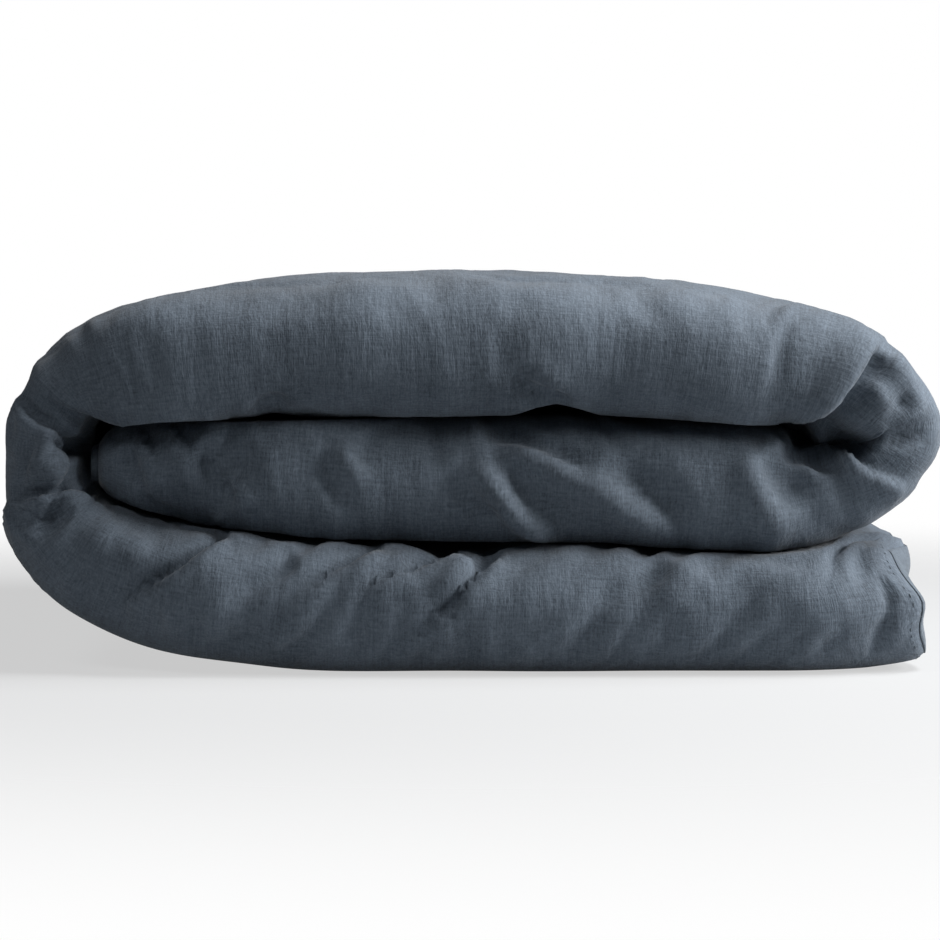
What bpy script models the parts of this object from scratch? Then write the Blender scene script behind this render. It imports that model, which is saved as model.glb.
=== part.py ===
"""A single duvet in a linen cover, folded in half along its length and then folded in three.

Metres, +Z up. The stack stands on z = 0 with the half-fold towards -Y and its box centred on the Z axis.

Every soft piece is drawn flat first, in three coordinates of the unfolded duvet:
    u  along the length, from the foot edge (0) to the head edge (LENGTH)
    v  across the width, from -WIDTH / 2 to WIDTH / 2, with the half-fold at 0
    w  through one ply, from the back cloth (negative) to the face cloth (positive)
fold() carries (u, v, w) into the folded stack, so neighbours stay neighbours wherever the duvet bends.
"""

import math

import bmesh
import bpy
import numpy as np

# Whole duvet
LENGTH = 2.00
WIDTH = 1.40
PLY = 0.0505  # one filled thickness with its cover
LEAF_GAP = 0.0015  # air left between two plies that lie on each other

# Fold in three: the long bend at the left opens and closes in a wide arc, with a tight one between
WIDE_BEND_RADIUS = 0.200
WIDE_BEND_ANGLE = math.radians(40)
FOOT_SETBACK = 0.020  # the foot edge lies this far short of the right bend
TUCK_REACH = 0.085  # the head edge goes this far into the left bend

# Cloth and the clearances between pieces
COVER_CLOTH = 0.0008
SHELL_CLOTH = 0.0005
CLEARANCE = 0.0003
SEAM_WIDTH = 0.006
SEAM_THICKNESS = 0.003
HEM_CLOTH = 0.0010
NEAR = CLEARANCE / 10  # rows of vertices closer than this are one row

# How full the ply is, as a share of its thickness, at distances in from its edges
EDGE_STEPS = (0.0, 0.02, 0.06, 0.12)
SIDE_FULLNESS = (0.0, 0.35, 0.75, 1.0)
FOOT_FULLNESS = (0.5, 0.6, 0.85, 1.0)
TUCK_STEPS = (0.0, 0.02, 0.05, 0.10, 0.18)
HEAD_FULLNESS = (0.0, 0.4, 0.8, 1.0, 1.0)
TUCK_SQUEEZE = (0.42, 0.58, 0.78, 0.95, 1.0)  # the head end narrows to slip inside the left bend

# Insert
INSERT_MARGIN = 0.020  # the insert is this much smaller than its cover on every side
ROWS = 6
COLUMNS = 4
BAFFLE_CLOTH = 0.0010
BAFFLE_CLEARANCE = 0.0005  # wider than CLEARANCE, because bends squeeze the inner side

# Facets
FRONT_STEPS = 6
WIDE_STEPS = 2
TIGHT_STEPS = 5
RIGHT_STEPS = 6
ROUND_SEGMENTS = 16

# Zip in the foot edge, on the upper ply of the lowest layer
ZIP_NEAR = 0.10  # its front end, measured across the duvet from the half-fold
ZIP_FAR_MARGIN = 0.12  # from its back end to the side seam
COIL_WIDTH = 0.0020
COIL_DEPTH = 0.0024
COIL_GAP = 0.0014
STOP_LENGTH = 0.004
TAPE_CLOTH = 0.0008
SLIDER_LENGTH = 0.011
SLIDER_PLATE = 0.0014
SLIDER_SIDE = 0.0012
SLIDER_WEB_LENGTH = 0.005
LUG_THICKNESS = 0.0010
LUG_HALF_LENGTH = 0.0020
LUG_SPAN = 0.0048  # clear width between the two lugs
PIN_RADIUS = 0.0008
PIN_HEIGHT = 0.0023  # pin axis above the slider's outer plate
EYE_WALL = 0.0008
PULL_THICKNESS = 0.0014
PULL_WIDTH = 0.0080
PULL_NECK = 0.0036  # the pull stays narrow up to here, to pass between the lugs
PULL_LENGTH = 0.024

# Care label, blank, hanging from the side seam at the back
LABEL_FROM_FOOT = 0.10
LABEL_WIDTH = 0.030
LABEL_DROP = 0.020
LABEL_CLOTH = 0.0006

# Colours (linear), roughness and metallic
SLATE = (0.070, 0.090, 0.118)
SLATE_DARK = (0.045, 0.058, 0.078)
WHITE_COTTON = (0.78, 0.77, 0.74)
WHITE_FILL = (0.85, 0.84, 0.81)
NICKEL = (0.30, 0.31, 0.33)

# Sizes that follow from the ones above
HALF_WIDTH = WIDTH / 2
STRIP = 2 * PLY + LEAF_GAP  # the duvet folded in half
LAYER_STEP = STRIP + LEAF_GAP
NEUTRAL = PLY / 2 + LEAF_GAP / 2  # bend radius of the ply's middle in the half-fold
FOLD_ARC = NEUTRAL * math.pi / 2
TIGHT_BEND_ANGLE = math.pi - 2 * WIDE_BEND_ANGLE
WIDE_RISE = 2 * WIDE_BEND_RADIUS * (1 - math.cos(WIDE_BEND_ANGLE))
TIGHT_BEND_RADIUS = (2 * LAYER_STEP - WIDE_RISE) / (2 * math.cos(WIDE_BEND_ANGLE))
WIDE_ARC = WIDE_BEND_RADIUS * WIDE_BEND_ANGLE
TIGHT_ARC = TIGHT_BEND_RADIUS * TIGHT_BEND_ANGLE
RIGHT_ARC = LAYER_STEP / 2 * math.pi
RIGHT_BEND_REACH = (LAYER_STEP + STRIP) / 2
FOOT_OVERHANG = RIGHT_BEND_REACH - FOOT_SETBACK  # how much longer the lowest run is than the top one
TOP_RUN = (LENGTH - 2 * WIDE_ARC - TIGHT_ARC - RIGHT_ARC - FOOT_OVERHANG - TUCK_REACH) / 3
FOOT_RUN = TOP_RUN + FOOT_OVERHANG
EDGE_HALF = COVER_CLOTH + CLEARANCE / 2  # half a ply where only the two cloths of the cover are left
SHELL_INSET = COVER_CLOTH + CLEARANCE
FILL_INSET = SHELL_INSET + SHELL_CLOTH + CLEARANCE


def strip_segments():
    """Straights and arcs of the folded strip as (start u, start x, start z, heading, curvature)."""
    bends = (
        (FOOT_RUN, 0.0),
        (WIDE_ARC, 1 / WIDE_BEND_RADIUS),
        (TIGHT_ARC, 1 / TIGHT_BEND_RADIUS),
        (WIDE_ARC, 1 / WIDE_BEND_RADIUS),
        (TOP_RUN, 0.0),
        (RIGHT_ARC, 2 / LAYER_STEP),
        (TOP_RUN + TUCK_REACH, 0.0),
    )
    segments = []
    u, x, z, heading = 0.0, 0.0, STRIP / 2, math.pi
    for length, curvature in bends:
        segments.append((u, x, z, heading, curvature))
        turned = heading - curvature * length
        if curvature:
            x += (math.sin(heading) - math.sin(turned)) / curvature
            z += (math.cos(turned) - math.cos(heading)) / curvature
        else:
            x += math.cos(heading) * length
            z += math.sin(heading) * length
        u += length
        heading = turned
    return np.array(segments)


SEGMENTS = strip_segments()


def path(u):
    """Middle of the folded strip at u: its x, z and heading."""
    index = np.clip(np.searchsorted(SEGMENTS[:, 0], u, side="right") - 1, 0, None)
    start, x, z, heading, curvature = np.moveaxis(SEGMENTS[index], -1, 0)
    run = u - start
    turned = heading - curvature * run
    bent = curvature > 0
    divisor = np.where(bent, curvature, 1.0)
    x = x + np.where(bent, (np.sin(heading) - np.sin(turned)) / divisor, np.cos(heading) * run)
    z = z + np.where(bent, (np.cos(turned) - np.cos(heading)) / divisor, np.sin(heading) * run)
    return x, z, turned


def squeeze(u):
    """Share of the full thickness the whole strip has at u."""
    return np.interp(LENGTH - u, TUCK_STEPS, TUCK_SQUEEZE)


def half_ply(u, v):
    """Half the thickness of one ply at (u, v), thinning towards the edges of the duvet."""
    along = np.minimum(
        np.interp(u, EDGE_STEPS, FOOT_FULLNESS),
        np.interp(LENGTH - u, TUCK_STEPS, HEAD_FULLNESS),
    )
    across = np.interp(HALF_WIDTH - np.abs(v), EDGE_STEPS, SIDE_FULLNESS)
    return EDGE_HALF + (squeeze(u) * PLY / 2 - EDGE_HALF) * along * across


def fold_unplaced(u, v, w):
    """Folded position of (u, v, w), before the stack is centred on the origin."""
    radius = squeeze(u) * PLY / 2 + LEAF_GAP / 2 + w
    angle = np.clip(v / NEUTRAL, -math.pi / 2, math.pi / 2)
    y = np.maximum(np.abs(v) - FOLD_ARC, 0.0) - radius * np.cos(angle)
    depth = radius * np.sin(angle)
    x, z, heading = path(u)
    return np.stack(
        np.broadcast_arrays(x - depth * np.sin(heading), y, z + depth * np.cos(heading)), axis=-1
    )


def knots(*groups):
    """Sorted values of all groups, near doubles made one."""
    values = np.unique(np.concatenate([np.atleast_1d(np.asarray(g, float)) for g in groups]))
    return values[np.concatenate([[True], np.diff(values) > NEAR])]


def within(values, low, high):
    """low, high and the shared values between them."""
    inner = values[(values > low + NEAR) & (values < high - NEAR)]
    return np.concatenate([[low], inner, [high]])


# Places along and across at which every soft piece has a row of vertices, so that facets nest
INSERT_START = INSERT_MARGIN
INSERT_END = LENGTH - INSERT_MARGIN
INSERT_SIDE = HALF_WIDTH - INSERT_MARGIN
ROW_WALLS = np.linspace(INSERT_START, INSERT_END, ROWS + 1)[1:-1]
COLUMN_WALLS = np.linspace(-INSERT_SIDE, INSERT_SIDE, COLUMNS + 1)[1:-1]
WALL_REACH = BAFFLE_CLOTH / 2 + BAFFLE_CLEARANCE


def arc_places(segment, steps):
    """u at even steps along one bend of the strip."""
    return np.linspace(SEGMENTS[segment, 0], SEGMENTS[segment + 1, 0], steps + 1)


def bent_walls(walls, bends):
    """Both clear faces of the walls that stand in a bend."""
    inside = [wall for wall in walls for low, high in bends if low < wall < high]
    return np.array([wall + side * WALL_REACH for wall in inside for side in (-1, 1)])


STRIP_BENDS = [(SEGMENTS[1, 0], SEGMENTS[4, 0]), (SEGMENTS[5, 0], SEGMENTS[6, 0])]
U_SHARED = knots(
    EDGE_STEPS,
    LENGTH - np.array(TUCK_STEPS),
    arc_places(1, WIDE_STEPS),
    arc_places(2, TIGHT_STEPS),
    arc_places(3, WIDE_STEPS),
    arc_places(5, RIGHT_STEPS),
    bent_walls(ROW_WALLS, STRIP_BENDS),
)
V_SIDES = HALF_WIDTH - np.array(EDGE_STEPS)
FRONT_PLACES = np.linspace(-FOLD_ARC, FOLD_ARC, FRONT_STEPS + 1)
V_FRONT_WALLS = bent_walls(COLUMN_WALLS, [(-FOLD_ARC, FOLD_ARC)])
if len(V_FRONT_WALLS):
    FRONT_PLACES = FRONT_PLACES[np.abs(FRONT_PLACES) > WALL_REACH]
V_SHARED = knots(-V_SIDES, FRONT_PLACES, V_FRONT_WALLS, V_SIDES)

# The box of the folded stack, from its outer skin, gives the shift to the origin
SKIN = fold_unplaced(U_SHARED[:, None], V_SHARED, half_ply(U_SHARED[:, None], V_SHARED))
BACK_EDGE = HALF_WIDTH - FOLD_ARC + CLEARANCE + SEAM_WIDTH
SHIFT = np.array([
    -(SKIN[..., 0].min() + SKIN[..., 0].max()) / 2,
    -(SKIN[..., 1].min() + BACK_EDGE) / 2,
    0.0,
])


def fold(u, v, w):
    """Folded position of (u, v, w) in the finished stack."""
    return fold_unplaced(u, v, w) + SHIFT


def give_material(piece, color, roughness, metallic):
    """A Principled material of the piece's own."""
    material = bpy.data.materials.new(piece.name + "_material")
    material.use_nodes = True
    shader = material.node_tree.nodes["Principled BSDF"]
    shader.inputs["Base Color"].default_value = (*color, 1.0)
    shader.inputs["Roughness"].default_value = roughness
    shader.inputs["Metallic"].default_value = metallic
    material.diffuse_color = (*color, 1.0)
    piece.data.materials.append(material)


def add_piece(name, points, triangles, color, roughness=0.9, metallic=0.0, smooth=True, origin=(0, 0, 0)):
    """An object from points and triangles, its faces turned outwards."""
    mesh = bpy.data.meshes.new(name)
    mesh.from_pydata((np.asarray(points) - origin).tolist(), [], triangles)
    body = bmesh.new()
    body.from_mesh(mesh)
    bmesh.ops.recalc_face_normals(body, faces=body.faces)
    for face in body.faces:
        face.smooth = smooth
    body.to_mesh(mesh)
    body.free()
    piece = bpy.data.objects.new(name, mesh)
    piece.location = origin
    bpy.context.scene.collection.objects.link(piece)
    give_material(piece, color, roughness, metallic)
    return piece


def ply_level(share, offset):
    """w as a share of half the ply plus an offset in metres."""
    return lambda u, v: share * half_ply(u, v) + offset


def grid_body(u, v, low, high, mask):
    """Points and triangles of the closed solid between two levels, over the cells in mask."""
    grid_u = u[:, None]
    levels = [fold(grid_u, v, level(grid_u, v)) for level in (low, high)]
    columns = len(v)
    upper = len(u) * columns
    triangles = []
    padded = np.pad(mask, 1)
    for i, j in np.argwhere(mask):
        a = i * columns + j
        b, c, d = a + columns, a + columns + 1, a + 1
        triangles += [(a, b, c), (a, c, d)]
        triangles += [(upper + a, upper + c, upper + b), (upper + a, upper + d, upper + c)]
        sides = (
            (padded[i, j + 1], a, d),
            (padded[i + 2, j + 1], c, b),
            (padded[i + 1, j], b, a),
            (padded[i + 1, j + 2], d, c),
        )
        for neighbour, start, end in sides:
            if not neighbour:
                triangles += [(start, end, upper + end), (start, upper + end, upper + start)]
    used, flat = np.unique(np.array(triangles), return_inverse=True)
    points = np.concatenate([level.reshape(-1, 3) for level in levels])[used]
    return points, flat.reshape(-1, 3).tolist()


def add_soft(name, u, v, low, high, color, mask=None, roughness=0.9):
    """A soft piece between two levels of the ply."""
    if mask is None:
        mask = np.ones((len(u) - 1, len(v) - 1), bool)
    points, triangles = grid_body(u, v, low, high, mask)
    return add_piece(name, points, triangles, color, roughness)


def clear_scene():
    """Removes what the startup scene holds."""
    for thing in list(bpy.context.scene.objects):
        bpy.data.objects.remove(thing, do_unlink=True)


clear_scene()

# Cover: a face cloth outside and a back cloth inside the half-fold, sewn together round the edge
cover_u = within(U_SHARED, 0.0, LENGTH)
cover_v = within(V_SHARED, -HALF_WIDTH, HALF_WIDTH)
add_soft("cover_face_panel", cover_u, cover_v, ply_level(1, -COVER_CLOTH), ply_level(1, 0), SLATE)
add_soft("cover_back_panel", cover_u, cover_v, ply_level(-1, 0), ply_level(-1, COVER_CLOTH), SLATE)

# Seams of the cover: the turned-in allowances that stand out beyond both cloths
seam_low = ply_level(0, -SEAM_THICKNESS / 2)
seam_high = ply_level(0, SEAM_THICKNESS / 2)
seam_start = HALF_WIDTH + CLEARANCE
seam_across = np.array([seam_start, seam_start + SEAM_WIDTH])
add_soft("side_seam_lower", cover_u, seam_across, seam_low, seam_high, SLATE_DARK)
add_soft("side_seam_upper", cover_u, -seam_across[::-1], seam_low, seam_high, SLATE_DARK)
head_along = LENGTH + CLEARANCE + np.array([0.0, SEAM_WIDTH])
add_soft("head_seam", head_along, cover_v, seam_low, seam_high, SLATE_DARK)

# Foot edge: a hem on both sides of the zip closes the ends of the two cloths
zip_far = HALF_WIDTH - ZIP_FAR_MARGIN
hem_u = -CLEARANCE - np.array([HEM_CLOTH, 0.0])
hem_long_v = within(V_SHARED, -ZIP_NEAR + CLEARANCE, HALF_WIDTH)
hem_short_v = within(V_SHARED, -HALF_WIDTH, -zip_far - CLEARANCE)
add_soft("foot_hem_long", hem_u, hem_long_v, ply_level(-1, 0), ply_level(1, 0), SLATE_DARK)
add_soft("foot_hem_short", hem_u, hem_short_v, ply_level(-1, 0), ply_level(1, 0), SLATE_DARK)

# Zip tapes: woven strips from the hem of each cloth to its coil
coil_inner = COIL_GAP / 2
coil_outer = coil_inner + COIL_WIDTH
tape_from = coil_outer + CLEARANCE
tape_u = -CLEARANCE - np.array([TAPE_CLOTH, 0.0])
zip_v = np.array([-zip_far, -ZIP_NEAR])
add_soft("zip_tape_face", tape_u, zip_v, ply_level(0, tape_from), ply_level(1, 0), SLATE_DARK)
add_soft("zip_tape_back", tape_u, zip_v, ply_level(-1, 0), ply_level(0, -tape_from), SLATE_DARK)

# Zip coils: two plastic spirals, drawn as bars with a slot between them for the slider's web
coil_u = -CLEARANCE - np.array([COIL_DEPTH, 0.0])
coil_v = zip_v + np.array([STOP_LENGTH + CLEARANCE, -STOP_LENGTH - CLEARANCE])
coils = (("zip_coil_face", coil_inner, coil_outer), ("zip_coil_back", -coil_outer, -coil_inner))
for name, low, high in coils:
    add_soft(name, coil_u, coil_v, ply_level(0, low), ply_level(0, high), SLATE_DARK, roughness=0.5)

# Zip stops: metal blocks clamped over both coils at the ends of the zip
stop_places = (("zip_stop_far", zip_v[0]), ("zip_stop_near", zip_v[1] - STOP_LENGTH))
for name, start in stop_places:
    stop_v = start + np.array([0.0, STOP_LENGTH])
    points, triangles = grid_body(
        coil_u, stop_v, ply_level(0, -coil_outer), ply_level(0, coil_outer), np.ones((1, 1), bool)
    )
    add_piece(name, points, triangles, NICKEL, 0.35, 1.0, smooth=False)

# Slider and pull are drawn on their own axes: a = out of the foot edge (+X), b = along the zip (Y), c = up
REST_V = coil_v[0] + SLIDER_LENGTH / 2 + CLEARANCE
RAIL = fold(0.0, REST_V, 0.0)
COIL_FACE = CLEARANCE + COIL_DEPTH  # how far the coils stand out of the foot edge
PLATE_START = COIL_FACE + CLEARANCE
PLATE_END = PLATE_START + SLIDER_PLATE
PIN_AXIS = PLATE_END + PIN_HEIGHT


def box_solid(a, b, c):
    """A closed box between pairs of values on the slider's axes."""
    body = bmesh.new()
    bmesh.ops.create_cube(body, size=1.0)
    for vertex in body.verts:
        vertex.co = [low + (high - low) * (place + 0.5) for (low, high), place in zip((a, b, c), vertex.co)]
    return body


def round_solid(radius, half_length):
    """A closed cylinder along c, standing at the pin's axis."""
    body = bmesh.new()
    bmesh.ops.create_cone(
        body, cap_ends=True, segments=ROUND_SEGMENTS, radius1=radius, radius2=radius, depth=2 * half_length
    )
    for vertex in body.verts:
        vertex.co.x += PIN_AXIS
    return body


def temporary(body, name):
    """A scratch object from a bmesh."""
    mesh = bpy.data.meshes.new(name)
    body.to_mesh(mesh)
    body.free()
    piece = bpy.data.objects.new(name, mesh)
    bpy.context.scene.collection.objects.link(piece)
    return piece


def combine(name, first, others):
    """first with each (operation, body) applied, as points and triangles in world axes."""
    base = temporary(first, name)
    for number, (operation, body) in enumerate(others):
        tool = temporary(body, f"{name}_tool_{number}")
        change = base.modifiers.new("change", "BOOLEAN")
        change.operation = operation
        change.solver = "EXACT"
        change.object = tool
        evaluated = base.evaluated_get(bpy.context.evaluated_depsgraph_get())
        mesh = bpy.data.meshes.new_from_object(evaluated)
        base.modifiers.clear()
        base.data = mesh
        bpy.data.objects.remove(tool, do_unlink=True)
    base.data.calc_loop_triangles()
    points = np.array([vertex.co for vertex in base.data.vertices]) + RAIL
    triangles = [tuple(triangle.vertices) for triangle in base.data.loop_triangles]
    bpy.data.objects.remove(base, do_unlink=True)
    return points, triangles


def span(half):
    """A pair of values either side of zero."""
    return (-half, half)


# Slider: outer and inner plates joined by a web that runs between the coils, with lugs for the pull
side_from = tape_from
slider_half = side_from + SLIDER_SIDE
tape_clear = CLEARANCE + TAPE_CLOTH + CLEARANCE
bite = SLIDER_PLATE / 4  # how deep joined solids run into each other
inner_plate = (-SLIDER_PLATE, 0.0)
lug_from = LUG_SPAN / 2
lug_to = lug_from + LUG_THICKNESS
lug_end = PIN_AXIS + PIN_RADIUS * 2
unions = [
    box_solid(inner_plate, span(SLIDER_LENGTH / 2), span(slider_half)),
    box_solid((-bite, PLATE_START + bite), span(SLIDER_WEB_LENGTH / 2), span(coil_inner - CLEARANCE)),
    round_solid(PIN_RADIUS, lug_from + LUG_THICKNESS / 2),
]
for side in (-1, 1):
    flange = sorted((side * side_from, side * slider_half))
    lug = sorted((side * lug_from, side * lug_to))
    unions.append(box_solid((tape_clear, PLATE_START + bite), span(SLIDER_LENGTH / 2), flange))
    unions.append(box_solid((PLATE_END - bite, lug_end), span(LUG_HALF_LENGTH), lug))
slider_points, slider_triangles = combine(
    "slider",
    box_solid((PLATE_START, PLATE_END), span(SLIDER_LENGTH / 2), span(slider_half)),
    [("UNION", body) for body in unions],
)
slider = add_piece(
    "zip_slider", slider_points, slider_triangles, NICKEL, 0.35, 1.0, smooth=False, origin=RAIL
)

# Pull: a tongue with an eye round the slider's pin, lying along the zip
eye_inner = PIN_RADIUS + CLEARANCE
eye_outer = eye_inner + EYE_WALL
eye_half = LUG_SPAN / 2 - CLEARANCE
tongue = (PIN_AXIS - PULL_THICKNESS / 2, PIN_AXIS + PULL_THICKNESS / 2)
pull_points, pull_triangles = combine(
    "pull",
    round_solid(eye_outer, eye_half),
    [
        ("UNION", box_solid(tongue, (0.0, PULL_NECK + bite), span(eye_half))),
        ("UNION", box_solid(tongue, (PULL_NECK, PULL_LENGTH), span(PULL_WIDTH / 2))),
        ("DIFFERENCE", round_solid(eye_inner, LUG_SPAN)),
    ],
)
pin_centre = RAIL + np.array([PIN_AXIS, 0.0, 0.0])
pull = add_piece("zip_pull", pull_points, pull_triangles, NICKEL, 0.35, 1.0, smooth=False, origin=pin_centre)

# Insert shell: two down-proof cotton cloths, a margin smaller than the cover all round
shell_u = within(U_SHARED, INSERT_START, INSERT_END)
shell_v = within(V_SHARED, -INSERT_SIDE, INSERT_SIDE)
shell_to = SHELL_INSET + SHELL_CLOTH
for name, side in (("insert_shell_face", 1), ("insert_shell_back", -1)):
    low, high = sorted((-side * shell_to, -side * SHELL_INSET))
    add_soft(name, shell_u, shell_v, ply_level(side, low), ply_level(side, high), WHITE_COTTON)

# Border of the insert: the upright cloth wall that joins the two shell cloths round the edge
fill_low = ply_level(-1, FILL_INSET)
fill_high = ply_level(1, -FILL_INSET)
border_u = within(U_SHARED, INSERT_START, INSERT_END)
border_u = knots(border_u, [INSERT_START + BAFFLE_CLOTH, INSERT_END - BAFFLE_CLOTH])
border_v = knots(shell_v, [BAFFLE_CLOTH - INSERT_SIDE, INSERT_SIDE - BAFFLE_CLOTH])
border_mask = np.zeros((len(border_u) - 1, len(border_v) - 1), bool)
border_mask[[0, -1], :] = True
border_mask[:, [0, -1]] = True
add_soft("insert_border", border_u, border_v, fill_low, fill_high, WHITE_COTTON, border_mask)

# Baffles: upright cloth walls that part the fill into chambers, sewn into one lattice
room = BAFFLE_CLOTH + BAFFLE_CLEARANCE
room_u = (INSERT_START + room, INSERT_END - room)
room_v = (room - INSERT_SIDE, INSERT_SIDE - room)


def wall_grid(shared, limits, walls):
    """Grid values with both faces of every wall added, and which cells lie in a wall."""
    faces = [wall + side * BAFFLE_CLOTH / 2 for wall in walls for side in (-1, 1)]
    values = knots(within(shared, *limits), faces)
    middles = (values[:-1] + values[1:]) / 2
    inside = (np.abs(middles[:, None] - walls) < BAFFLE_CLOTH / 2).any(axis=1)
    return values, inside


baffle_u, in_row_wall = wall_grid(U_SHARED, room_u, ROW_WALLS)
baffle_v, in_column_wall = wall_grid(V_SHARED, room_v, COLUMN_WALLS)
baffle_mask = in_row_wall[:, None] | in_column_wall
add_soft("baffle_grid", baffle_u, baffle_v, fill_low, fill_high, WHITE_COTTON, baffle_mask)


# Fill: one cushion of down in each chamber
def chamber_edges(limits, walls):
    """Start and end of each chamber along one direction."""
    starts = [limits[0], *(walls + WALL_REACH)]
    ends = [*(walls - WALL_REACH), limits[1]]
    return list(zip(starts, ends))


for row, u_limits in enumerate(chamber_edges(room_u, ROW_WALLS), 1):
    for column, v_limits in enumerate(chamber_edges(room_v, COLUMN_WALLS), 1):
        add_soft(
            f"fill_r{row}c{column}",
            within(U_SHARED, *u_limits),
            within(V_SHARED, *v_limits),
            fill_low,
            fill_high,
            WHITE_FILL,
        )

# Care label: a blank satin strip hanging from the side seam into the open edge at the back
label_u = LABEL_FROM_FOOT + np.array([0.0, LABEL_WIDTH])
label_v = -HALF_WIDTH - SEAM_WIDTH / 2 + LABEL_CLOTH * np.array([-0.5, 0.5])
label_top = -SEAM_THICKNESS / 2 - CLEARANCE
label_low = ply_level(0, label_top - LABEL_DROP)
label_high = ply_level(0, label_top)
add_soft("care_label", label_u, label_v, label_low, label_high, WHITE_COTTON)
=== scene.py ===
"""A duvet in a washed linen cover, folded in half and in three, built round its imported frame."""

import math

import bpy
import numpy as np
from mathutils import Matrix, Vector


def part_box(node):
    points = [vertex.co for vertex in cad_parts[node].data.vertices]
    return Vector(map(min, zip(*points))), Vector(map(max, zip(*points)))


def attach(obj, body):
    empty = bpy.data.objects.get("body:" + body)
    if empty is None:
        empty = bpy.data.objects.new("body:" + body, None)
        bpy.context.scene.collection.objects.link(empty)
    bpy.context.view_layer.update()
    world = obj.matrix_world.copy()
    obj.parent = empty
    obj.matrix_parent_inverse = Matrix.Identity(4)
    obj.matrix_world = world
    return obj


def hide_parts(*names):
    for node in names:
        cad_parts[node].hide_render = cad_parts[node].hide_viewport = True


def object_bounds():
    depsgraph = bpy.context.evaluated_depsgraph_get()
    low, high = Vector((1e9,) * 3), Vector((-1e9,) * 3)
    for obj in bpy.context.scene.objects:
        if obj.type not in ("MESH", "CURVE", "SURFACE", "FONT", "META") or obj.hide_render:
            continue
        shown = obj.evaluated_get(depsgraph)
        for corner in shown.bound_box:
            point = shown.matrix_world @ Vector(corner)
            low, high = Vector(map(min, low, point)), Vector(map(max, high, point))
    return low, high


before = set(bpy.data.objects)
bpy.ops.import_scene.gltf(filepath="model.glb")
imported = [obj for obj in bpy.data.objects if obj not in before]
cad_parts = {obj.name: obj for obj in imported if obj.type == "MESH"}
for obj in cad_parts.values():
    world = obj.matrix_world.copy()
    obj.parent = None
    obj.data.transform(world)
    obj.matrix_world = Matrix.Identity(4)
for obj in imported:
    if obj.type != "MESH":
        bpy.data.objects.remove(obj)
cad_low, cad_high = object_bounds()

# ------------------------
# Studio: a pale floor that fades into a white surround, two soft lights from the right and from
# above, a weak fill from the front left, and a long lens a little above the middle of the stack.
LENS_DISTANCE = 2.55
LENS_RISE = math.radians(3.0)
SENSOR = 36.0
FRAME_SHARE = 1.002  # how much of the frame's width the stack takes up
WIDEST_BEHIND = 0.05  # how far behind its front the stack is widest
AIM_ABOVE = 0.001  # how far above the stack's middle the lens aims

scene = bpy.context.scene
scene.view_settings.view_transform = "Standard"
middle_z = (cad_low.z + cad_high.z) / 2 + AIM_ABOVE
half_width = (cad_high.x - cad_low.x) / 2

camera_data = bpy.data.cameras.new("camera")
camera_data.sensor_width = SENSOR
camera_data.lens = SENSOR / 2 * FRAME_SHARE / (half_width / (LENS_DISTANCE + WIDEST_BEHIND))
camera = bpy.data.objects.new("camera", camera_data)
camera.location = (
    0,
    cad_low.y - LENS_DISTANCE * math.cos(LENS_RISE),
    middle_z + LENS_DISTANCE * math.sin(LENS_RISE),
)
camera.rotation_euler = (math.pi / 2 - LENS_RISE, 0, 0)
scene.collection.objects.link(camera)
scene.camera = camera


def soft_light(name, place, target, width, height, watts):
    """A rectangular area light at place that faces target."""
    data = bpy.data.lights.new(name, "AREA")
    data.shape = "RECTANGLE"
    data.size = width
    data.size_y = height
    data.energy = watts
    light = bpy.data.objects.new(name, data)
    light.location = place
    direction = light.location - type(light.location)(target)
    light.rotation_euler = direction.to_track_quat("Z", "Y").to_euler()
    scene.collection.objects.link(light)


soft_light("window_right", (2.1, -0.65, 0.95), (0.1, -0.2, 0.15), 0.9, 0.9, 60)
soft_light("overhead", (1.10, -0.34, 1.7), (0.1, -0.2, 0.15), 1.1, 0.7, 42)
soft_light("front_fill", (-1.3, -1.6, 1.9), (-0.2, -0.3, 0.15), 0.9, 0.6, 12)


class Socket:
    """A shader socket that can be used in sums: each operator adds its Math node."""

    def __init__(self, tree, link):
        self.tree, self.link = tree, link

    def math(self, operation, *others):
        inputs = dict(enumerate((self, *others)))
        return node(self.tree, "ShaderNodeMath", {"operation": operation}, inputs)

    def __add__(self, other):
        return self.math("ADD", other)

    def __sub__(self, other):
        return self.math("SUBTRACT", other)

    def __mul__(self, other):
        return self.math("MULTIPLY", other)

    def __rsub__(self, other):
        return node(self.tree, "ShaderNodeMath", {"operation": "SUBTRACT"}, {0: other, 1: self})

    __radd__ = __add__
    __rmul__ = __mul__


def node(tree, kind, settings=(), inputs=(), output=0):
    """A node of that kind with its settings made first, then its sockets set or linked."""
    made = tree.nodes.new(kind)
    for name, value in dict(settings).items():
        setattr(made, name, value)
    for name, value in dict(inputs).items():
        if isinstance(value, Socket):
            tree.links.new(value.link, made.inputs[name])
        else:
            made.inputs[name].default_value = value
    return Socket(tree, made.outputs[output])


def new_material(name, roughness, metallic=0.0, sheen=0.0):
    """A Principled material: its tree, and the shader whose varying sockets are still to be linked."""
    material = bpy.data.materials.new(name)
    material.use_nodes = True
    shader = material.node_tree.nodes["Principled BSDF"]
    shader.inputs["Roughness"].default_value = roughness
    shader.inputs["Metallic"].default_value = metallic
    shader.inputs["Sheen Weight"].default_value = sheen
    return material, material.node_tree, shader


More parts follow.
